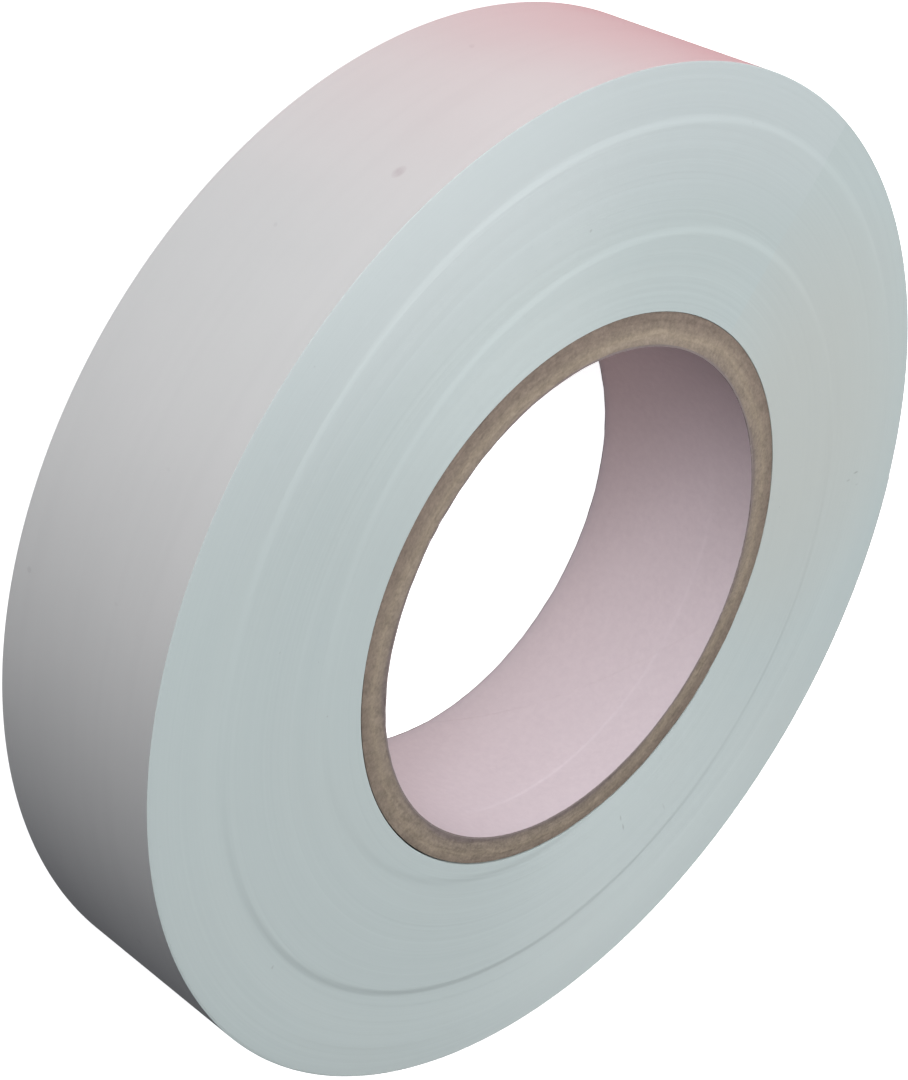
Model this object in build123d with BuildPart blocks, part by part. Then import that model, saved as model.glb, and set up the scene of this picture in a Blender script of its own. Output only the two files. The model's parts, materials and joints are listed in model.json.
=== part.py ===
from build123d import *
import os
from math import degrees, pi, sqrt

# A roll of electrical tape, lying on its side.
# The origin is the centre of the face it lies on. +Z runs along the roll's axis, and the line
# where the free end of the tape peels off is on the +Y side. The tape is wound outwards
# anticlockwise, as seen from +Z. All sizes are in millimetres, and angles in degrees.

# Driving dimensions
tape_width = 15.0          # tape and core are slit together, so the core is as long as this
tape_thickness = 0.13      # PVC film with its adhesive coat
tape_length = 25_000.0     # the whole strip, from the core to the free end
bore_diameter = 38.0
liner_thickness = 0.15     # white paper that lines the bore
board_ply_thickness = 0.55
board_ply_count = 4
wrap_thickness = 0.15      # kraft paper round the outside of the core
free_end_angle = 33.0      # how far round the roll the free end reaches
peel_line_angle = 90.0     # where the free end starts to lift, measured from +X
peel_gap = 0.06            # the free end lies this far off the turn under it
root_gap = 0.05            # clearance between the outer wrap's last edge and the free end

# The core, from the bore outwards
bore_radius = bore_diameter / 2
board_radius = bore_radius + liner_thickness
wrap_radius = board_radius + board_ply_count * board_ply_thickness
core_radius = wrap_radius + wrap_thickness

# The tape fills the ring between the core and roll_radius. The last turn rises from one tape
# thickness over wound_radius to two, so roll_radius is its mean.
roll_radius = sqrt(core_radius**2 + tape_length * tape_thickness / pi)
wound_radius = roll_radius - 1.5 * tape_thickness
quarter_rise = tape_thickness / 4
root_gap_angle = degrees(root_gap / roll_radius)


def spiral_turn(start_radius, short_of=0.0):
    """One turn from the peel line round to it again, one tape thickness further out.

    It is two half circles whose centres lie a quarter of the rise either side of the axis. It can
    stop a few degrees short of the peel line. Returns the two arcs.
    """
    first_half = CenterArc((0, -quarter_rise), start_radius + quarter_rise, peel_line_angle, 180)
    second_half = CenterArc(
        (0, quarter_rise), start_radius + 3 * quarter_rise, peel_line_angle + 180, 180 - short_of
    )
    return first_half, second_half


os.makedirs("parts", exist_ok=True)

# White paper lining of the bore
with BuildPart() as core_liner:
    with BuildSketch():
        Circle(board_radius)
        Circle(bore_radius, mode=Mode.SUBTRACT)
    extrude(amount=tape_width)
core_liner.part.label = "core_liner"
export_step(core_liner.part, "parts/core_liner.step")

# Grey board plies, glued one round the other, numbered from the bore outwards
for number in range(1, board_ply_count + 1):
    ply_radius = board_radius + (number - 1) * board_ply_thickness
    with BuildPart() as core_ply:
        with BuildSketch():
            Circle(ply_radius + board_ply_thickness)
            Circle(ply_radius, mode=Mode.SUBTRACT)
        extrude(amount=tape_width)
    core_ply.part.label = f"core_ply_{number}"
    export_step(core_ply.part, f"parts/core_ply_{number}.step")

# Kraft paper wrap that the first turn of tape sticks to
with BuildPart() as core_wrap:
    with BuildSketch():
        Circle(core_radius)
        Circle(wrap_radius, mode=Mode.SUBTRACT)
    extrude(amount=tape_width)
core_wrap.part.label = "core_wrap"
export_step(core_wrap.part, "parts/core_wrap.step")

# All turns of tape under the last one. They are stuck together without a gap, so they are one
# ring, with the step of one tape thickness where the last turn starts.
with BuildPart() as wound_tape:
    with BuildSketch():
        with BuildLine():
            first_half, second_half = spiral_turn(wound_radius)
            Line(second_half @ 1, first_half @ 0)
        make_face()
        Circle(core_radius, mode=Mode.SUBTRACT)
    extrude(amount=tape_width)
wound_tape.part.label = "wound_tape"
export_step(wound_tape.part, "parts/wound_tape.step")

# The last full turn, from the step round to the peel line
with BuildPart() as outer_wrap:
    with BuildSketch():
        with BuildLine():
            inner_start, inner_end = spiral_turn(wound_radius, root_gap_angle)
            outer_start, outer_end = spiral_turn(wound_radius + tape_thickness, root_gap_angle)
            Line(inner_start @ 0, outer_start @ 0)
            Line(inner_end @ 1, outer_end @ 1)
        make_face()
    extrude(amount=tape_width)
outer_wrap.part.label = "outer_wrap"
export_step(outer_wrap.part, "parts/outer_wrap.step")

# The free end, which hinges outwards about its outer edge at the peel line
under_radius = wound_radius + tape_thickness + quarter_rise + peel_gap
with BuildPart() as tape_end:
    with BuildSketch():
        with BuildLine():
            under = CenterArc((0, -quarter_rise), under_radius, peel_line_angle, free_end_angle)
            over = CenterArc(
                (0, -quarter_rise), under_radius + tape_thickness, peel_line_angle, free_end_angle
            )
            Line(under @ 0, over @ 0)
            Line(under @ 1, over @ 1)
        make_face()
    extrude(amount=tape_width)
tape_end.part.label = "tape_end"
export_step(tape_end.part, "parts/tape_end.step")

print(f"roll diameter {2 * roll_radius:.3f}, turns {(roll_radius - core_radius) / tape_thickness:.1f}")
print(f"peel hinge at y = {under_radius + tape_thickness - quarter_rise:.4f}")
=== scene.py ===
"""A roll of white PVC electrical tape on a paperboard core, lying on one side on a pale floor.

Everything is in metres, in the frame of the CAD model: the roll's axis is +Z, and the free end of
the tape peels off along a line on the +Y side. Angles called turn angles run anticlockwise, as
seen from +Z, from that line.
"""

import json
import math

import bpy
import numpy as np
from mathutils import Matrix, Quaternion, Vector


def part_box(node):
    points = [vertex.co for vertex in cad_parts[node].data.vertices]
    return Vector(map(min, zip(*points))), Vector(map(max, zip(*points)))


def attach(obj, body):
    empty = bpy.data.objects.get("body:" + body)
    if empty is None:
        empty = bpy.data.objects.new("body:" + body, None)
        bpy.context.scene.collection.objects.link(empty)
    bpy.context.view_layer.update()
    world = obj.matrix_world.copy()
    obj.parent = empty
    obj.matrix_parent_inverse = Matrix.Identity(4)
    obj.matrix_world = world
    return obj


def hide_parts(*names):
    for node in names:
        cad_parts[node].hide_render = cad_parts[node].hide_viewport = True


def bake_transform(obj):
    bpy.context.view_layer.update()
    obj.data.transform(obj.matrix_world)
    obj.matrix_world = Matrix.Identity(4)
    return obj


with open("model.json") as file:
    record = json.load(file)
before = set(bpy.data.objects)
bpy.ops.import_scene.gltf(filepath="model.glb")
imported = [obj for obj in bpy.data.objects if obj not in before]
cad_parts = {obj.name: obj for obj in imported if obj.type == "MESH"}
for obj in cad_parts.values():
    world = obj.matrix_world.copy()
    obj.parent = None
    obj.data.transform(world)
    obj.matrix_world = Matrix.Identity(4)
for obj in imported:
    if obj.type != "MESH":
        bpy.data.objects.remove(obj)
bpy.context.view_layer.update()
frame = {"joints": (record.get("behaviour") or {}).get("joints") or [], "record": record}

MM = 0.001
TURN = 2 * math.pi
SHARP_ANGLE = math.radians(40)    # faces that meet at more than this show a hard edge


# ---------------------------------------------------------------- sizes, from the frame


def node_radius(node):
    """Half of a round node's width along X."""
    low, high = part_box(node)
    return (high.x - low.x) / 2


ROLL_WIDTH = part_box("wound_tape")[1].z
BORE_RADIUS = frame["record"]["mounts"][0]["dims"]["r_mm"] * MM
LINER_RADIUS = node_radius("core_liner")
PLY_RADII = [node_radius(f"core_ply_{number}") for number in range(1, 5)]
CORE_RADIUS = node_radius("core_wrap")
TAPE_THICKNESS = node_radius("outer_wrap") - node_radius("wound_tape")
# The wound tape's radius at the peel line, under the start of the last turn
WOUND_RADIUS = node_radius("wound_tape") - TAPE_THICKNESS / 2
WRAP_RADIUS = WOUND_RADIUS + 2 * TAPE_THICKNESS
HINGE = Vector(frame["joints"][0]["pos_m"])
FREE_END_REACH = math.atan2(-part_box("tape_end")[0].x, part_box("tape_end")[0].y)


# ---------------------------------------------------------------- small tools


def smoothstep(value):
    """0 below 0, 1 above 1, and a smooth rise between."""
    value = np.clip(value, 0.0, 1.0)
    return value * value * (3 - 2 * value)


def smooth_noise(count, spacing, seed):
    """A closed row of count values round 0, with a spread of 1, that change over about spacing
    steps."""
    random = np.random.default_rng(seed)
    spectrum = np.fft.rfft(random.standard_normal(count))
    frequency = np.fft.rfftfreq(count)
    values = np.fft.irfft(spectrum * np.exp(-((frequency * spacing) ** 2) * 2), count)
    return values / (values.std() + 1e-12)


def smooth_field(rows, columns, row_spacing, column_spacing, seed):
    """The same on a sheet of rows by columns values, closed both ways."""
    random = np.random.default_rng(seed)
    spectrum = np.fft.rfft2(random.standard_normal((rows, columns)))
    row_frequency = np.fft.fftfreq(rows)[:, None] * row_spacing
    column_frequency = np.fft.rfftfreq(columns)[None, :] * column_spacing
    keep = np.exp(-2 * (row_frequency**2 + column_frequency**2))
    values = np.fft.irfft2(spectrum * keep, (rows, columns))
    return values / (values.std() + 1e-12)


def new_object(name, points, faces, smooth=True):
    """A mesh object from a list of points and of faces."""
    mesh = bpy.data.meshes.new(name)
    mesh.from_pydata([tuple(p) for p in points], [], [tuple(f) for f in faces])
    mesh.update()
    if smooth:
        mesh.polygons.foreach_set("use_smooth", [True] * len(mesh.polygons))
        mesh.set_sharp_from_angle(angle=SHARP_ANGLE)
    made = bpy.data.objects.new(name, mesh)
    bpy.context.scene.collection.objects.link(made)
    return made


# The core is pressed in on one side, and the bore is worn on another. Each has a turn angle, a
# depth, and a distance over which it dies away, into the tape and into the core.
PRESSED_AT, PRESSED_BY, PRESS_REACH = math.radians(-100), 0.45 * MM, 3 * MM
WORN_AT, WORN_BY, WEAR_REACH = math.radians(-5), 0.30 * MM, 1.5 * MM


def out_of_round(radius, turn_angle):
    """How far outwards the core, and the tape close to it, lies off a true circle."""
    pressed_radii = (BORE_RADIUS, CORE_RADIUS, CORE_RADIUS + PRESS_REACH)
    pressed = np.clip(np.cos(turn_angle - PRESSED_AT), 0, 1) ** 1.5
    pressed = pressed * np.interp(radius, pressed_radii, (0, 1, 0))
    worn = np.clip(np.cos(turn_angle - WORN_AT), 0, 1) ** 2
    worn = worn * np.interp(radius, (BORE_RADIUS, BORE_RADIUS + WEAR_REACH), (1, 0))
    return WORN_BY * worn - PRESSED_BY * pressed


def polar(radius, turn_angle, height):
    """Points in the row frame, from arrays of radius, turn angle and height."""
    radius = radius + out_of_round(radius, turn_angle)
    around = turn_angle + math.pi / 2
    parts = np.broadcast_arrays(radius * np.cos(around), radius * np.sin(around), height)
    return np.stack(parts, -1)


def closed_faces(rows, columns):
    """Quads between rows of columns points each, closed both ways, as on a ring."""
    index = np.arange(rows * columns).reshape(rows, columns)
    across, next_row = np.roll(index, -1, 1), np.roll(index, -1, 0)
    return np.stack([index, across, np.roll(across, -1, 0), next_row], -1).reshape(-1, 4)


# ---------------------------------------------------------------- the slit sides of the tape

# The slitting knife left one spiral step on each side, higher on its inner side. SLIT_SPIRAL is
# its radius at the peel line, the fall of the radius per turn, and the growth of that fall. The
# step's height in mm is given at places along it, in turns from the peel line.
SLIT_SPIRAL = (36.80 * MM, 5.48 * MM, 1.34 * MM)
SLIT_STEP_WIDTH = 0.70 * MM
SLIT_STEP_TURNS = (0.07, 0.18, 0.40, 0.56, 0.70, 0.80, 0.95, 1.10, 1.25, 1.40, 1.60, 1.85, 1.95)
SLIT_STEP_HEIGHTS = (0, 0.08, 0.08, 0.07, 0.14, 0.12, 0.07, 0.07, 0.09, 0.06, 0.06, 0.06, 0)

EDGE_ROUNDING = 0.25 * MM              # width of the rounding at the roll's outer edges
EDGE_DROP = 0.3 * EDGE_ROUNDING        # how far the side falls over the rounding
RIM_WIDTH = 0.1 * WRAP_RADIUS          # width of the part that slopes down to the outer edge
RIM_FALL = 0.10 * MM                   # how far the side falls over that slope

# Turns that stand a little higher or lower than their neighbours over part of the way round:
# radius and half width in mm, turn angles in degrees from and to, and height in mm
PROUD_TURN_FADE = 12.0                 # degrees over which each end of one dies away
PROUD_TURNS = [
    (36.10, 0.35, 255, 295, 0.022),
    (33.00, 0.45, 100, 190, 0.014),
    (31.30, 0.40, 150, 330, 0.008),
    (29.90, 0.35, 10, 75, 0.008),
    (27.60, 0.45, 170, 245, -0.012),
    (24.50, 0.35, 15, 70, 0.020),
    (23.20, 0.30, 190, 330, 0.010),
]


def slit_line(turns):
    """Radius of the spiral step, this many turns after the peel line."""
    start, fall, growth = SLIT_SPIRAL
    return start - fall * turns - growth * turns**2


def slit_depth(radius, turn_angle):
    """How far the slit side lies below its highest level, from the knife's spiral step, the
    slope to the rim and the rounded outer edge. The side drops at the step, going outwards, and
    climbs back slowly."""
    radius, first = np.broadcast_arrays(radius, np.mod(turn_angle / TURN, 1.0))
    depth = np.zeros(radius.shape)
    for turns in (first, first + 1, first + 2):
        line, line_outside = slit_line(turns), slit_line(turns - 1)
        drop = np.interp(turns, SLIT_STEP_TURNS, SLIT_STEP_HEIGHTS) * MM
        climb = np.clip((radius - line) / (line_outside - line), 0, 1)
        depth += drop * (1 - climb) * smoothstep((radius - line) / SLIT_STEP_WIDTH + 0.5)
    rim = RIM_FALL * np.clip((radius - (WRAP_RADIUS - RIM_WIDTH)) / RIM_WIDTH, 0, 1) ** 2
    edge = np.clip((radius - (WRAP_RADIUS - EDGE_ROUNDING)) / EDGE_ROUNDING, 0, 0.995)
    return depth + rim + EDGE_DROP * (1 - np.sqrt(1 - edge**2))


def proud_height(radius, turn_angle):
    """Height of the proud turns, above the level that slit_depth gives."""
    degrees_on = np.degrees(np.mod(turn_angle, TURN))
    height = np.zeros(np.broadcast(radius, turn_angle).shape)
    for middle, half_width, start, end, rise in PROUD_TURNS:
        across = np.exp(-(((radius / MM - middle) / half_width) ** 2))
        along = smoothstep((degrees_on - start) / PROUD_TURN_FADE)
        along = along * smoothstep((end - degrees_on) / PROUD_TURN_FADE)
        height = height + rise * MM * across * along
    return height


# ---------------------------------------------------------------- the wound tape

STEPS_PER_TURN = 160
STRIP_SHARE = 0.84        # of the pitch between turns, taken by the strip's own edge

# How unevenly the turns lie at the slit sides: in bands of several turns, in patches, and singly
BAND_DEPTH, PATCH_DEPTH, SINGLE_DEPTH = 0.0008 * MM, 0.0010 * MM, 0.0002 * MM


def make_wound_tape():
    """One strip wound round the core. Its slit edges make the two sides, turn by turn, with a
    narrow slope from each turn's edge to the next one's."""
    turns = round((WOUND_RADIUS - CORE_RADIUS) / TAPE_THICKNESS)
    pitch = (WOUND_RADIUS - CORE_RADIUS) / turns
    steps = turns * STEPS_PER_TURN
    step = np.arange(steps + 1)
    angle = TURN * step / STEPS_PER_TURN
    inner = CORE_RADIUS + pitch * step / STEPS_PER_TURN
    radii = np.stack([inner, inner + pitch * STRIP_SHARE], 1)
    last_turn = step >= steps - STEPS_PER_TURN
    radii[last_turn, 1] = inner[last_turn] + pitch

    turn = step // STEPS_PER_TURN
    place = step % STEPS_PER_TURN
    sides = []
    for is_upper, seed in ((True, 11), (False, 12)):
        bands = smooth_noise(turns + 1, 9, seed)[turn]
        patches = smooth_field(turns + 1, STEPS_PER_TURN, 3, 45, seed + 10)[turn, place]
        singles = smooth_field(turns + 1, STEPS_PER_TURN, 0.6, 70, seed + 20)[turn, place]
        offset = BAND_DEPTH * bands + PATCH_DEPTH * patches + SINGLE_DEPTH * singles
        depth = slit_depth(radii, angle[:, None]) + np.abs(offset)[:, None]
        depth = np.maximum(depth - proud_height(radii, angle[:, None]), 0)
        height = ROLL_WIDTH - depth if is_upper else depth
        sides.append(polar(radii, angle[:, None], height).reshape(-1, 3))
    faces = wound_tape_faces(steps)
    return new_object("tape_turns", np.concatenate(sides), faces)


def wound_tape_faces(steps):
    """Faces of the wound strip. Each side has two points a step, on the strip's inner and outer
    edge, and all of the upper side's points come first."""
    lower = 2 * (steps + 1)

    def at(step, edge, side=0):
        """Index of a point. edge is 0 inside and 1 outside, and side is 0 or lower."""
        return side + 2 * step + edge

    # The strip's own slit edge, and the slope from it to the next turn
    strip = np.arange(steps)
    slope = np.arange(steps - STEPS_PER_TURN)
    turn_on = slope + STEPS_PER_TURN
    side_faces = [
        np.stack([at(strip, 0), at(strip, 1), at(strip + 1, 1), at(strip + 1, 0)], 1),
        np.stack([at(slope, 1), at(turn_on, 0), at(turn_on + 1, 0), at(slope + 1, 1)], 1),
    ]
    faces = []
    for quads in side_faces:
        faces.append(quads)
        faces.append(quads[:, ::-1] + lower)

    # The outside of the last turn and the inside of the first
    a = np.arange(steps - STEPS_PER_TURN, steps)
    faces.append(np.stack([at(a, 1), at(a, 1, lower), at(a + 1, 1, lower), at(a + 1, 1)], 1))
    a = np.arange(STEPS_PER_TURN)
    faces.append(np.stack([at(a, 0), at(a + 1, 0), at(a + 1, 0, lower), at(a, 0, lower)], 1))

    # The steps where the strip starts and ends, each in two parts
    for a, b in (((0, 0), (0, 1)), ((0, 1), (STEPS_PER_TURN, 0))):
        faces.append([[at(*b), at(*a), at(*a, lower), at(*b, lower)]])
    for a, b in (((steps - STEPS_PER_TURN, 1), (steps, 0)), ((steps, 0), (steps, 1))):
        faces.append([[at(*a), at(*b), at(*b, lower), at(*a, lower)]])
    return np.concatenate(faces)


# ---------------------------------------------------------------- the last turn and the free end

WRAP_STEPS = 360
WRAP_END_RISE_LENGTH = 8 * MM      # the outer wrap's outside rises to the free end's over this
FREE_END_ROOT_LENGTH = 4 * MM      # finely divided, because the free end bends there
FREE_END_ROOT_POINTS = 50
FREE_END_POINTS = 90               # on the rest of it


def strip_profile(inner, outer, turn_angle):
    """Cross-section of one turn at each turn angle, as (radius, height) points that go round it:
    up the outside, over the upper edge, down the inside and under the lower edge."""
    shares = np.array([1.0, 0.96, 0.75, 0.4, 0.0])      # of the thickness, from the inside
    near_edge = np.array([0.004, 0.010, 0.025, 0.10])   # of the width, from an edge
    levels = np.concatenate([near_edge, [0.3, 0.5, 0.7], 1 - near_edge[::-1]])
    rows = []
    for radius_in, radius_out, angle in zip(inner, outer, turn_angle):
        radii = radius_in + (radius_out - radius_in) * shares
        depth = slit_depth(radii, angle)
        upper = ROLL_WIDTH - depth
        outside = depth[0] + (upper[0] - depth[0]) * levels
        inside = upper[-1] + (depth[-1] - upper[-1]) * levels
        heights = np.concatenate([outside, upper, inside, depth[::-1]])
        outer_wall, inner_wall = (np.full(len(levels), radius) for radius in radii[[0, -1]])
        around = np.concatenate([outer_wall, radii, inner_wall, radii[::-1]])
        rows.append(np.stack([around, heights], 1))
    return np.array(rows)


def make_strip(name, turn_angle, inner, outer):
    """A length of tape that is bent round the roll, closed at both ends."""
    profile = strip_profile(inner, outer, turn_angle)
    rows, columns = profile.shape[:2]
    points = polar(profile[..., 0], turn_angle[:, None], profile[..., 1]).reshape(-1, 3)
    faces = []
    for row in range(rows - 1):
        for column in range(columns):
            following = (column + 1) % columns
            a, b = row * columns + column, row * columns + following
            faces.append((a, a + columns, b + columns, b))
    faces.append(tuple(range(columns)))
    faces.append(tuple((rows - 1) * columns + c for c in reversed(range(columns))))
    return new_object(name, points, faces)


def make_outer_wrap():
    """The last full turn. Its outside rises to the free end's over its last few millimetres, so
    that the strip runs on without a step."""
    turn_angle = np.linspace(0, TURN, WRAP_STEPS + 1)
    inner = WOUND_RADIUS + TAPE_THICKNESS * turn_angle / TURN
    to_end = (TURN - turn_angle) * WRAP_RADIUS
    rise = (HINGE.y - WRAP_RADIUS) * smoothstep(1 - to_end / WRAP_END_RISE_LENGTH)
    return make_strip("outer_wrap_strip", turn_angle, inner, inner + TAPE_THICKNESS + rise)


def make_tape_end():
    """The free end, from the peel line to its cut edge."""
    root_reach = FREE_END_ROOT_LENGTH / WRAP_RADIUS
    root = np.linspace(0, root_reach, FREE_END_ROOT_POINTS)
    beyond = np.linspace(root_reach, FREE_END_REACH, FREE_END_POINTS)[1:]
    turn_angle = np.concatenate([root, beyond])
    inner = HINGE.y - TAPE_THICKNESS + TAPE_THICKNESS * turn_angle / TURN
    return make_strip("free_tape_end", turn_angle, inner, inner + TAPE_THICKNESS)


# ---------------------------------------------------------------- the core

CORE_STEPS = 540
CORE_LEVELS = 40           # through the wall, for the roughness of its cut ends
RING_LEVELS = 7            # through one ply
CORE_END_DEPTH = 0.035 * MM                             # mean depth of the cut ends
FIBRE_DEPTH, LUMP_DEPTH = 0.006 * MM, 0.011 * MM        # and their roughness


def core_end_depth(radius, side):
    """How far the cut end of the core lies below the CAD model's, all round at one radius. side
    is 0 for the upper end and 1 for the lower. All plies were cut at once, so the roughness runs
    on from one ply to the next."""
    fibres = smooth_field(CORE_LEVELS, CORE_STEPS, 1.2, 2.2, 300 + side)
    lumps = smooth_field(CORE_LEVELS, CORE_STEPS, 5.0, 9.0, 310 + side)
    depth = CORE_END_DEPTH + FIBRE_DEPTH * fibres + LUMP_DEPTH * lumps
    level = (radius - LINER_RADIUS) / (CORE_RADIUS - LINER_RADIUS) * (CORE_LEVELS - 1)
    below = min(int(level), CORE_LEVELS - 2)
    share = level - below
    return np.clip(depth[below] * (1 - share) + depth[below + 1] * share, 0, None)


def make_ring(name, inner_radius, outer_radius):
    """One board ply, or the kraft wrap: a tube with rough cut ends."""
    angle = TURN * np.arange(CORE_STEPS) / CORE_STEPS
    radii = np.linspace(inner_radius, outer_radius, RING_LEVELS)
    upper = [ROLL_WIDTH - core_end_depth(radius, 0) for radius in radii]
    lower = [core_end_depth(radius, 1) for radius in radii]
    levels = (0.01, 0.5, 0.99)
    rows = [(outer_radius, lower[-1] + (upper[-1] - lower[-1]) * level) for level in levels]
    rows += list(zip(radii[::-1], upper[::-1]))
    rows += [(inner_radius, upper[0] + (lower[0] - upper[0]) * level) for level in levels]
    rows += list(zip(radii, lower))
    points = np.concatenate([polar(radius, angle, height) for radius, height in rows])
    return new_object(name, points, closed_faces(len(rows), CORE_STEPS))


SEAM_TURN_ANGLE = -50.0    # degrees, where the liner's helical seam meets the lower face
SEAM_TWIST = 63.0          # degrees that the seam runs round the bore on its way up
SEAM_LIP = 0.02 * MM
SEAM_LIP_FADE = 40         # degrees past the seam, over which the lip dies away

# The mandrel left a faint ledge in the liner. Its levels are shares of the roll's width.
LEDGE_LEVEL = 0.76
LEDGE_WIDTH, LEDGE_FADE = 0.020, 0.14
LEDGE_HEIGHT = 0.032 * MM
LEDGE_TURN_ANGLE = -15.0   # degrees, at the middle of its length

LINER_END_DEPTH = 0.03 * MM        # mean depth of the liner's cut ends
LINER_FIBRE_DEPTH = 0.012 * MM     # and their roughness
LINER_ROUNDING = 0.4               # of its thickness, by which its ends stand back from the bore


def make_liner():
    """The bore's paper lining, wound as a helix. Its mesh is twisted with the helix, so that the
    lip at the seam between two of its turns is a clean line. A faint ledge runs part of the way
    round, where the mandrel marked the paper."""
    beside_seam = np.array([-0.6, -0.3, -0.15, 0, 0.15, 0.3, 0.6])
    from_seam = np.sort(np.concatenate([np.arange(1, 360, 1.0), beside_seam % 360]))
    past_seam = np.where(from_seam > 359, from_seam - 360, from_seam)
    lip = SEAM_LIP * smoothstep((past_seam + 0.3) / 0.6) * smoothstep(1 - past_seam / SEAM_LIP_FADE)
    steps = len(from_seam)

    def end_depth(seed):
        """How far one end lies below the CAD model's, all round."""
        fibres = smooth_field(1, steps, 0.8, 2.5, seed)[0]
        return np.clip(LINER_END_DEPTH + LINER_FIBRE_DEPTH * fibres, 0, None)

    top, bottom = ROLL_WIDTH - end_depth(170), end_depth(171)
    near_end = np.array([0.002, 0.006, 0.02])
    near_ledge = LEDGE_LEVEL + np.array([-0.010, -0.005, 0.0, 0.005, 0.010, 0.04, 0.08, 0.14])
    levels = [np.linspace(0, 1, 21), near_end, 1 - near_end, near_ledge]
    levels = np.unique(np.concatenate(levels).round(5))
    ledge_angle = from_seam + SEAM_TURN_ANGLE + SEAM_TWIST * LEDGE_LEVEL - LEDGE_TURN_ANGLE
    ledge = LEDGE_HEIGHT * smoothstep(np.cos(np.radians(ledge_angle)) * 2 - 0.7)

    outside, bore = np.full(steps, LINER_RADIUS), np.full(steps, BORE_RADIUS)
    rounding = bore + LINER_ROUNDING * (LINER_RADIUS - BORE_RADIUS)
    rows = [(outside, bottom + (top - bottom) * level) for level in levels]
    rows.append((rounding, top))
    for level in levels[::-1]:
        past = level - LEDGE_LEVEL
        share = smoothstep(past / LEDGE_WIDTH + 0.5) * smoothstep(1 - past / LEDGE_FADE)
        rows.append((bore + lip + ledge * share, bottom + (top - bottom) * level))
    rows.append((rounding, bottom))
    radius, height = (np.array(values) for values in zip(*rows))
    turn_angle = np.radians(from_seam + SEAM_TURN_ANGLE + SEAM_TWIST * height / ROLL_WIDTH)
    points = polar(radius, turn_angle, height).reshape(-1, 3)
    return new_object("bore_liner", points, closed_faces(len(rows), steps))


# ---------------------------------------------------------------- materials


class Nodes:
    """A new material's node tree, with short ways to add and join nodes."""

    def __init__(self, name):
        self.material = bpy.data.materials.new(name)
        self.material.use_nodes = True
        self.tree = self.material.node_tree
        self.shader = self.tree.nodes["Principled BSDF"]

    def add(self, kind, **settings):
        node = self.tree.nodes.new(kind)
        for key, value in settings.items():
            setattr(node, key, value)
        return node

    def join(self, source, target):
        self.tree.links.new(source, target)

    def math(self, operation, first, second=None):
        """A Math node. first and second are sockets or numbers. Returns its output."""
        node = self.add("ShaderNodeMath", operation=operation)
        for socket, value in zip(node.inputs, (first, second)):
            if value is None:
                continue
            if isinstance(value, (int, float)):
                socket.default_value = value
            else:
                self.join(value, socket)
        return node.outputs[0]

    def noise(self, vector, scale, detail=3.0, roughness=0.5):
        """A Noise texture's value socket. Most of its values are from 0.3 to 0.7."""
        node = self.add("ShaderNodeTexNoise")
        node.inputs["Scale"].default_value = scale
        node.inputs["Detail"].default_value = detail
        node.inputs["Roughness"].default_value = roughness
        self.join(vector, node.inputs["Vector"])
        return node.outputs["Fac"]

    def mix(self, factor, first, second):
        """A colour mix. first and second are colours or sockets, factor is a socket."""
        node = self.add("ShaderNodeMix", data_type="RGBA")
        self.join(factor, node.inputs["Factor"])
        for socket, value in ((node.inputs[6], first), (node.inputs[7], second)):
            if isinstance(value, tuple):
                socket.default_value = (*value, 1.0)
            else:
                self.join(value, socket)
        return node.outputs[2]

    def range(self, value, low, high, to_low=0.0, to_high=1.0):
        """value, clamped between low and high, and scaled to run from to_low to to_high."""
        node = self.add("ShaderNodeMapRange")
        self.join(value, node.inputs["Value"])
        for key, number in (
            ("From Min", low), ("From Max", high), ("To Min", to_low), ("To Max", to_high)
        ):
            node.inputs[key].default_value = number
        return node.outputs["Result"]

    def spot(self, *axes):
        """1 in the middle of a spot and 0 outside it. Each axis is (socket, middle, half size)."""
        total = 0.0
        for socket, middle, half_size in axes:
            share = self.math("DIVIDE", self.math("SUBTRACT", socket, middle), half_size)
            total = self.math("ADD", self.math("MULTIPLY", share, share), total)
        return self.range(total, 0.1, 1.0, 1.0, 0.0)

    def bump(self, height, distance, strength):
        """Bumps on the shader's normal. height is a socket, and distance is in metres."""
        node = self.add("ShaderNodeBump")
        node.inputs["Distance"].default_value = distance
        node.inputs["Strength"].default_value = strength
        self.join(height, node.inputs["Height"])
        self.join(node.outputs["Normal"], self.shader.inputs["Normal"])

    def surface(self, specular, roughness=None):
        """Sets the shader's specular level, and its roughness where that is the same all over."""
        self.shader.inputs["Specular IOR Level"].default_value = specular
        if roughness is not None:
            self.shader.inputs["Roughness"].default_value = roughness

    def place(self):
        """The point's place in the row frame, in metres, as a vector socket."""
        return self.add("ShaderNodeTexCoord").outputs["Object"]

    def cylinder(self):
        """The point's radius and height in metres, and its angle in radians, as sockets."""
        split = self.add("ShaderNodeSeparateXYZ")
        self.join(self.place(), split.inputs[0])
        x, y, z = split.outputs
        squares = self.math("ADD", self.math("MULTIPLY", x, x), self.math("MULTIPLY", y, y))
        return self.math("SQRT", squares), self.math("ARCTAN2", y, x), z

    def vector(self, x, y, z):
        """A vector socket from three sockets or numbers."""
        node = self.add("ShaderNodeCombineXYZ")
        for socket, value in zip(node.inputs, (x, y, z)):
            if isinstance(value, (int, float)):
                socket.default_value = value
            else:
                self.join(value, socket)
        return node.outputs[0]


# Specks of dust on the slit sides: angle from +X in degrees, radius and length in mm, and how
# dark each one is
DUST_WIDTH = 0.20 * MM
DUST_ON_SLIT_SIDES = [
    (126.4, 33.2, 0.7, 0.55),
    (125.6, 32.3, 0.6, 0.35),
    (124.3, 33.7, 0.5, 0.20),
    (57.2, 25.9, 0.9, 0.45),
    (57.0, 24.7, 0.8, 0.40),
    (66.5, 28.3, 1.2, 0.20),
]


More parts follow.
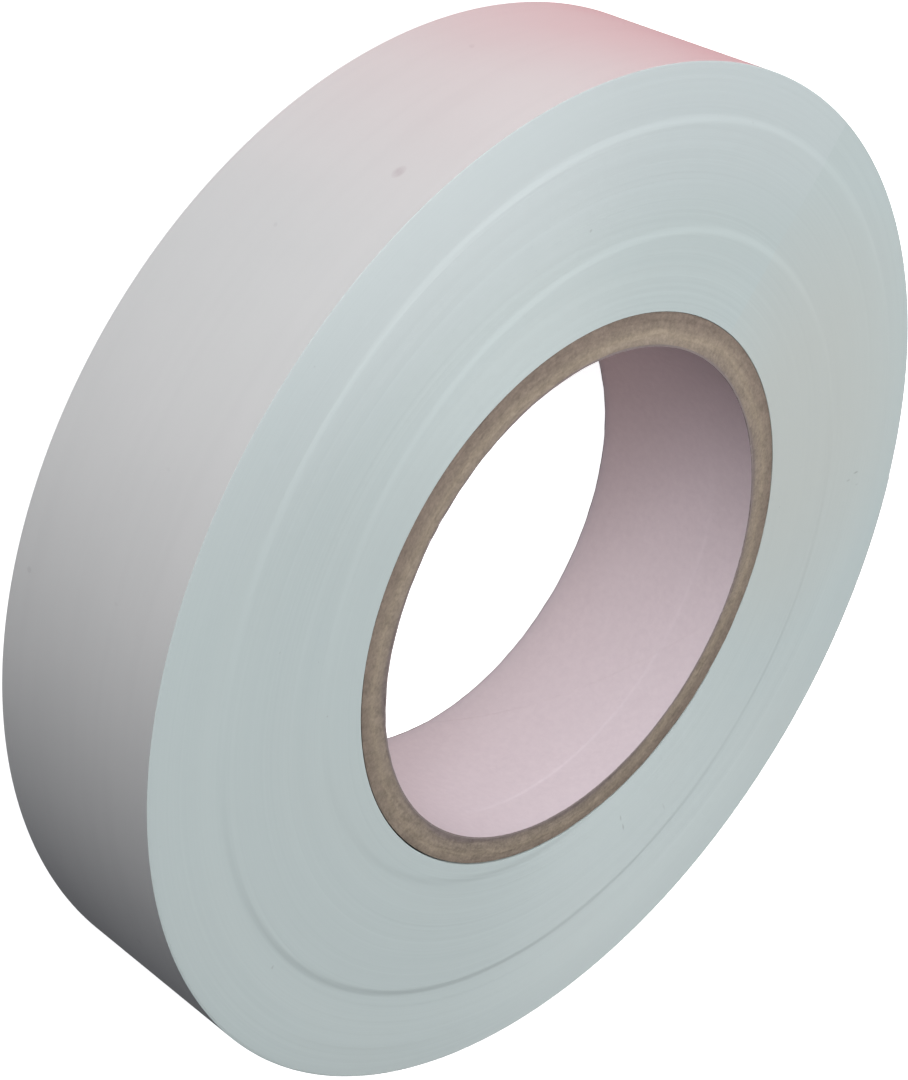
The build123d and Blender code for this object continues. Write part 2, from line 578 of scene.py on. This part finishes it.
def slit_side_material():
    """The tape's slit edges, stacked turn on turn: pale, a little blue-green, finely lined."""
    nodes = Nodes("slit_tape_edges")
    radius, angle, _ = nodes.cylinder()
    turn = nodes.math("DIVIDE", radius, TAPE_THICKNESS)
    turn = nodes.math("SUBTRACT", turn, nodes.math("DIVIDE", angle, TURN))
    lines = nodes.noise(nodes.vector(turn, nodes.math("MULTIPLY", angle, 0.6), 0.0), 0.9, 4.0, 0.6)
    bands = nodes.noise(nodes.vector(turn, nodes.math("MULTIPLY", angle, 0.8), 3.0), 0.07, 3.0)
    clouds = nodes.noise(nodes.place(), 90.0, 3.0)
    fleck = nodes.noise(nodes.place(), 1500.0, 1.0)
    base = nodes.mix(nodes.range(lines, 0.3, 0.7), (0.465, 0.531, 0.531), (0.488, 0.553, 0.552))
    base = nodes.mix(nodes.range(bands, 0.35, 0.65, 0.0, 0.35), base, (0.503, 0.567, 0.561))
    base = nodes.mix(nodes.range(clouds, 0.4, 0.7, 0.0, 0.25), base, (0.485, 0.535, 0.526))
    warm = nodes.spot((angle, math.radians(142), 0.8), (radius, 25 * MM, 15 * MM))
    base = nodes.mix(nodes.math("MULTIPLY", warm, 0.50), base, (0.505, 0.510, 0.475))
    # Painted light: the slit side is painted paler near the rim on the side the lamps shine from,
    # 225 degrees from +X.
    pale = nodes.spot((angle, math.radians(-135), 1.15), (radius, 37 * MM, 10 * MM))
    base = nodes.mix(nodes.math("MULTIPLY", pale, 0.60), base, (0.54, 0.59, 0.60))
    base = nodes.mix(nodes.range(fleck, 0.82, 0.86, 0.0, 0.4), base, (0.28, 0.30, 0.30))
    for speck_angle, speck_radius, length, darkness in DUST_ON_SLIT_SIDES:
        speck = nodes.spot(
            (angle, math.radians(speck_angle), DUST_WIDTH / 2 / (speck_radius * MM)),
            (radius, speck_radius * MM, length * MM / 2),
        )
        base = nodes.mix(nodes.math("MULTIPLY", speck, darkness), base, (0.22, 0.24, 0.24))
    nodes.join(base, nodes.shader.inputs["Base Color"])
    nodes.surface(specular=0.5, roughness=0.50)
    # The stacked edges are grooves round the axis, so they scatter a highlight radially
    tangent = nodes.add("ShaderNodeTangent", direction_type="RADIAL", axis="Z")
    nodes.join(tangent.outputs["Tangent"], nodes.shader.inputs["Tangent"])
    nodes.shader.inputs["Anisotropic"].default_value = 0.92
    nodes.shader.inputs["Anisotropic Rotation"].default_value = 0.25
    nodes.bump(lines, 0.012 * MM, 0.5)
    return nodes.material


def film_material():
    """The tape's outer face: smooth, satin, soft PVC film with a faint grain."""
    nodes = Nodes("white_pvc_film")
    _, angle, height = nodes.cylinder()
    grain = nodes.noise(nodes.place(), 2600.0, 2.0)
    streak_place = nodes.vector(
        nodes.math("MULTIPLY", angle, 2.0), nodes.math("MULTIPLY", height, 900.0), 0.0
    )
    streaks = nodes.noise(streak_place, 1.0, 3.0)
    clouds = nodes.noise(nodes.place(), 60.0, 3.0)
    speck = nodes.noise(nodes.place(), 900.0, 0.0)
    base = nodes.mix(nodes.range(clouds, 0.35, 0.7), (0.755, 0.758, 0.757), (0.795, 0.794, 0.792))
    base = nodes.mix(nodes.range(streaks, 0.45, 0.8, 0.0, 0.18), base, (0.68, 0.68, 0.685))
    base = nodes.mix(nodes.range(speck, 0.84, 0.88, 0.0, 0.2), base, (0.45, 0.43, 0.45))
    smudge = nodes.spot(
        (angle, math.radians(-115.7), 0.016), (height, 0.757 * ROLL_WIDTH, 0.42 * MM)
    )
    smudge = nodes.math("MULTIPLY", smudge, nodes.range(grain, 0.3, 0.7, 0.25, 0.40))
    base = nodes.mix(smudge, base, (0.46, 0.38, 0.41))
    nodes.join(base, nodes.shader.inputs["Base Color"])
    nodes.join(nodes.range(clouds, 0.3, 0.7, 0.36, 0.46), nodes.shader.inputs["Roughness"])
    nodes.surface(specular=0.5)
    nodes.bump(nodes.math("ADD", grain, nodes.math("MULTIPLY", streaks, 0.7)), 0.006 * MM, 0.6)
    return nodes.material


def adhesive_material():
    """The tacky inner side of the free end, slightly grey and glossier than the film."""
    nodes = Nodes("adhesive_coat")
    flow = nodes.noise(nodes.place(), 800.0, 4.0, 0.6)
    base = nodes.mix(nodes.range(flow, 0.35, 0.65), (0.70, 0.70, 0.67), (0.76, 0.76, 0.74))
    nodes.join(base, nodes.shader.inputs["Base Color"])
    nodes.join(nodes.range(flow, 0.3, 0.7, 0.34, 0.48), nodes.shader.inputs["Roughness"])
    nodes.surface(specular=0.4)
    nodes.bump(flow, 0.010 * MM, 0.6)
    return nodes.material


# Tones of the core's board and kraft paper, from the bore outwards, as (radius in mm, colour)
BOARD_TONES = [
    (19.15, (0.190, 0.154, 0.144)),
    (19.45, (0.250, 0.205, 0.168)),
    (20.25, (0.280, 0.229, 0.176)),
    (20.75, (0.230, 0.186, 0.148)),
    (21.45, (0.208, 0.164, 0.134)),
]
BOARD_LIT_SIDE_ANGLE = math.radians(225)    # from +X, where the core is painted paler, on the side the lamps shine from
PAINTED_HIGHLIGHT_ANGLE = math.radians(190)   # and where a pale band of painted highlight crosses its wall


def board_material(name, brightness):
    """Recycled grey-brown board: short pale and dark fibres in a matte, uneven surface. Its tone
    changes through the wall, with no sharp line between plies. It is painted paler on the side the
    lamps shine from, with a painted highlight across the wall there. brightness scales its colour."""
    nodes = Nodes(name)
    radius, angle, height = nodes.cylinder()
    drift = nodes.noise(nodes.place(), 110.0, 2.0)
    place = nodes.math("ADD", radius, nodes.range(drift, 0.3, 0.7, -0.30 * MM, 0.30 * MM))
    # Painted light and shade: the board is painted paler towards the side the lamps shine from, and
    # darker on the far side.
    lit_side_shade = nodes.math("COSINE", nodes.math("SUBTRACT", angle, BOARD_LIT_SIDE_ANGLE))
    place = nodes.math("ADD", place, nodes.range(lit_side_shade, 0.2, 1.0, 0.0, 0.40 * MM))
    low, high = BOARD_TONES[0][0], BOARD_TONES[-1][0]
    tone = nodes.add("ShaderNodeValToRGB")
    stops = tone.color_ramp.elements
    while len(stops) < len(BOARD_TONES):
        stops.new(0.5)
    for stop, (at, colour) in zip(stops, BOARD_TONES):
        stop.position = (at - low) / (high - low)
        stop.color = (*colour, 1.0)
    nodes.join(nodes.range(place, low * MM, high * MM), tone.inputs["Fac"])
    fibre_place = nodes.vector(
        nodes.math("MULTIPLY", radius, 5000.0),
        nodes.math("MULTIPLY", angle, 60.0),
        nodes.math("MULTIPLY", height, 3000.0),
    )
    fibres = nodes.noise(fibre_place, 1.0, 3.0, 0.6)
    lumps = nodes.noise(nodes.place(), 1300.0, 3.0, 0.6)
    pulp = nodes.noise(nodes.place(), 4500.0, 3.0, 0.6)
    shade = nodes.range(lumps, 0.3, 0.7, -0.14, 0.14)
    shade = nodes.math("ADD", shade, nodes.range(fibres, 0.3, 0.7, -0.10, 0.10))
    shade = nodes.math("ADD", shade, nodes.range(pulp, 0.3, 0.7, -0.10, 0.10))
    # Painted light and shade round the core, paler towards the lamps.
    shade = nodes.math("ADD", shade, nodes.range(lit_side_shade, -1.0, 1.0, -0.12, 0.08))
    # Painted highlight: a pale band that slants across the wall near this angle, lit as a ridge of
    # the cut end would be.
    past_streak = nodes.math("SUBTRACT", angle, PAINTED_HIGHLIGHT_ANGLE)
    slant = nodes.math("MULTIPLY", nodes.math("SINE", past_streak), 1.2 * MM)
    painted_highlight = nodes.spot((nodes.math("ADD", radius, slant), 20.15 * MM, 0.5 * MM))
    near_streak = nodes.range(nodes.math("COSINE", past_streak), 0.72, 0.92, 0.0, 0.12)
    shade = nodes.math("ADD", shade, nodes.math("MULTIPLY", painted_highlight, near_streak))
    shade = nodes.math("ADD", shade, brightness)
    scaled = nodes.add("ShaderNodeVectorMath", operation="SCALE")
    nodes.join(tone.outputs["Color"], scaled.inputs[0])
    nodes.join(shade, scaled.inputs["Scale"])
    nodes.join(scaled.outputs["Vector"], nodes.shader.inputs["Base Color"])
    nodes.surface(specular=0.2, roughness=0.9)
    nodes.bump(nodes.math("ADD", fibres, pulp), 0.040 * MM, 0.6)
    return nodes.material


def liner_material():
    """Smooth white paper with faint fibres. Its cut ends are darker, near the board's tone."""
    nodes = Nodes("white_liner_paper")
    _, _, height = nodes.cylinder()
    fibres = nodes.noise(nodes.place(), 1800.0, 4.0, 0.65)
    clouds = nodes.noise(nodes.place(), 200.0, 3.0)
    base = nodes.mix(nodes.range(fibres, 0.3, 0.7), (0.658, 0.578, 0.622), (0.705, 0.624, 0.664))
    base = nodes.mix(nodes.range(clouds, 0.4, 0.7, 0.0, 0.3), base, (0.677, 0.603, 0.644))
    middle = ROLL_WIDTH / 2
    from_middle = nodes.math("ABSOLUTE", nodes.math("SUBTRACT", height, middle))
    uneven = nodes.math("ADD", from_middle, nodes.math("MULTIPLY", fibres, 0.10 * MM))
    end = nodes.range(uneven, middle - 0.06 * MM, middle, 0.0, 0.95)
    base = nodes.mix(end, base, (0.20, 0.165, 0.155))
    nodes.join(base, nodes.shader.inputs["Base Color"])
    nodes.surface(specular=0.2, roughness=0.8)
    nodes.bump(nodes.math("ADD", fibres, clouds), 0.020 * MM, 0.4)
    return nodes.material


# ---------------------------------------------------------------- the pieces


def stand_for(piece, node, slot, *materials):
    """piece takes the place of a CAD node, and gets its materials."""
    for material in materials:
        piece.data.materials.append(material)
    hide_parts(node)
    return piece


SLIT_EDGE, OUTER_FILM, ADHESIVE = 0, 1, 2     # material slots of a strip


def paint_strip(strip, inner_slot):
    """The strip's slit edges take the first material, its outer face and ends take the film, and
    its inner face takes the material in inner_slot."""
    middle = ROLL_WIDTH / 2
    for polygon in strip.data.polygons:
        centre = polygon.center
        outwards = Vector((centre.x, centre.y, 0)).normalized()
        faces_up_or_down = abs(polygon.normal.z) > 0.6
        is_near_side = abs(centre.z - middle) > middle * 0.9
        if faces_up_or_down and is_near_side:
            polygon.material_index = SLIT_EDGE
        elif polygon.normal.dot(outwards) < -0.5:
            polygon.material_index = inner_slot
        else:
            polygon.material_index = OUTER_FILM


slit_sides = slit_side_material()
film = film_material()
adhesive = adhesive_material()

wound_tape = stand_for(make_wound_tape(), "wound_tape", "tape_pvc", slit_sides)
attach(wound_tape, "roll")

outer_wrap = stand_for(make_outer_wrap(), "outer_wrap", "tape_pvc", slit_sides, film)
paint_strip(outer_wrap, OUTER_FILM)
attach(outer_wrap, "roll")

tape_end = stand_for(make_tape_end(), "tape_end", "tape_pvc", slit_sides, film, adhesive)
paint_strip(tape_end, ADHESIVE)
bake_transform(tape_end)

board = board_material("recycled_board", 1.0)
inner_radius = LINER_RADIUS
for number, outer_radius in enumerate(PLY_RADII, 1):
    ply = make_ring(f"board_ply_{number}", inner_radius, outer_radius)
    stand_for(ply, f"core_ply_{number}", "core_board", board)
    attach(ply, "roll")
    inner_radius = outer_radius

kraft = make_ring("kraft_wrap", inner_radius, CORE_RADIUS)
stand_for(kraft, "core_wrap", "kraft_paper", board_material("kraft_paper", 0.95))
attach(kraft, "roll")

liner = make_liner()
stand_for(liner, "core_liner", "liner_paper", liner_material())
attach(liner, "roll")


# ---------------------------------------------------------------- floor, light and camera

FLOOR_SIZE = 8.0                # metres across
REAR_STRIP_HEIGHT = 0.012
BOUNCE_HEIGHT = 0.06 * MM       # above the floor
BOUNCE_DIAMETER = 37.6 * MM
BOUNCE_POWER = 0.00080          # watts
BOUNCE_COLOUR = (1.0, 0.68, 0.52)

# Studio lights that shine at the roll: name, azimuth from +X and elevation in degrees, distance
# and width in metres, and power in watts. All but the rear strip are round.
STUDIO_LIGHTS = [
    ("key", 253, 36, 0.55, 0.40, 1.96),
    ("low_key", 225, 20, 0.55, 0.40, 0.98),
    ("high_fill", 142, 62, 0.35, 0.20, 0.70),
    ("rear_strip", 75, 0.86, 0.50, 0.40, 1.05),
]


def make_floor():
    """A plain pale floor under the roll. It throws no light and no reflection onto the roll."""
    edge = FLOOR_SIZE / 2
    corners = [(-edge, -edge, 0), (edge, -edge, 0), (edge, edge, 0), (-edge, edge, 0)]
    floor = new_object("floor", corners, [(0, 1, 2, 3)], smooth=False)
    nodes = Nodes("pale_floor")
    nodes.shader.inputs["Base Color"].default_value = (0.9, 0.9, 0.9, 1)
    nodes.shader.inputs["Emission Color"].default_value = (1, 1, 1, 1)
    nodes.shader.inputs["Emission Strength"].default_value = 0.80
    nodes.surface(specular=0.0, roughness=0.9)
    floor.data.materials.append(nodes.material)
    floor.visible_diffuse = False
    floor.visible_glossy = False


def direction(azimuth, elevation):
    """A unit vector to a place at this azimuth from +X and this elevation, in degrees."""
    a, e = math.radians(azimuth), math.radians(elevation)
    return Vector((math.cos(a) * math.cos(e), math.sin(a) * math.cos(e), math.sin(e)))


def make_light(name, place, back, size, power):
    """A round light that shines the opposite way to back."""
    lamp = bpy.data.lights.new(name, "AREA")
    lamp.shape = "DISK"
    lamp.size = size
    lamp.energy = power
    light = bpy.data.objects.new(name, lamp)
    bpy.context.scene.collection.objects.link(light)
    light.location = place
    light.rotation_mode = "QUATERNION"
    light.rotation_quaternion = back.to_track_quat("Z", "Y")
    return lamp


def make_lights():
    """The studio lights, and a faint warm light that shines up from the bottom of the bore, in
    place of the light that a floor would throw back."""
    for name, azimuth, elevation, distance, size, power in STUDIO_LIGHTS:
        back = direction(azimuth, elevation)
        lamp = make_light(name, back * distance, back, size, power)
        if name == "rear_strip":
            lamp.shape = "RECTANGLE"
            lamp.size_y = REAR_STRIP_HEIGHT
    down = direction(0, -90)
    lamp = make_light("bounce_in_bore", down * -BOUNCE_HEIGHT, down, BOUNCE_DIAMETER, BOUNCE_POWER)
    lamp.color = BOUNCE_COLOUR


BACKDROP = (0.87, 0.87, 0.87)             # seen by the camera
SKY_LIGHT = (0.078, 0.080, 0.088)         # the same backdrop as a source of light
ROSE_PATCH = (1.25, 0.02, 0.10)           # seen by glossy rays only
ROSE_PATCH_WAY = direction(162, -39)
ROSE_PATCH_EDGE = 0.62                    # cosine of the angle from its middle to its edge


def make_world():
    """A pale backdrop, dimmer as a source of light, with a rose-coloured patch low on one side
    that shows as a sheen on the film where it is seen at a grazing angle."""
    world = bpy.data.worlds.new("studio")
    world.use_nodes = True
    tree = world.node_tree
    background = tree.nodes["Background"]
    rays = tree.nodes.new("ShaderNodeLightPath")

    def join(source, target):
        tree.links.new(source, target)

    def colour_mix(factor, second_colour):
        """A colour mix whose second colour is fixed."""
        mix = tree.nodes.new("ShaderNodeMix")
        mix.data_type = "RGBA"
        join(factor, mix.inputs["Factor"])
        mix.inputs[7].default_value = (*second_colour, 1)
        return mix

    nearness = tree.nodes.new("ShaderNodeVectorMath")
    nearness.operation = "DOT_PRODUCT"
    nearness.inputs[1].default_value = ROSE_PATCH_WAY
    join(tree.nodes.new("ShaderNodeTexCoord").outputs["Generated"], nearness.inputs[0])
    patch = tree.nodes.new("ShaderNodeMapRange")
    patch.interpolation_type = "SMOOTHSTEP"
    patch.inputs["From Min"].default_value = ROSE_PATCH_EDGE
    join(nearness.outputs["Value"], patch.inputs["Value"])
    patch_in_gloss = tree.nodes.new("ShaderNodeMath")
    patch_in_gloss.operation = "MULTIPLY"
    join(patch.outputs["Result"], patch_in_gloss.inputs[0])
    join(rays.outputs["Is Glossy Ray"], patch_in_gloss.inputs[1])

    light = colour_mix(patch_in_gloss.outputs["Value"], ROSE_PATCH)
    light.inputs[6].default_value = (*SKY_LIGHT, 1)
    seen = colour_mix(rays.outputs["Is Camera Ray"], BACKDROP)
    join(light.outputs[2], seen.inputs[6])
    join(seen.outputs[2], background.inputs["Color"])
    background.inputs["Strength"].default_value = 1.0
    bpy.context.scene.world = world


CAMERA_PLACE = Vector((0, -134.25, 100.04)) * MM
CAMERA_AIM = Vector((0.79, 0, 2.77)) * MM
CAMERA_TURN = math.radians(119.47)        # about its own axis
CAMERA_LENS = 74.62                       # mm, on a sensor 36 mm wide


def make_camera():
    """The camera looks down on the roll from the -Y side and is turned about its own axis, so
    that the roll seems to stand on its edge."""
    camera_data = bpy.data.cameras.new("camera")
    camera = bpy.data.objects.new("camera", camera_data)
    bpy.context.scene.collection.objects.link(camera)
    camera_data.lens = CAMERA_LENS
    camera_data.sensor_width = 36.0
    camera_data.clip_start = 0.01
    camera_data.dof.use_dof = False
    camera.location = CAMERA_PLACE
    look = (CAMERA_AIM - CAMERA_PLACE).to_track_quat("-Z", "Y")
    camera.rotation_mode = "QUATERNION"
    camera.rotation_quaternion = look @ Quaternion((0, 0, 1), CAMERA_TURN)
    bpy.context.scene.camera = camera


make_floor()
make_world()
make_lights()
make_camera()
bpy.context.scene.view_settings.view_transform = "Standard"
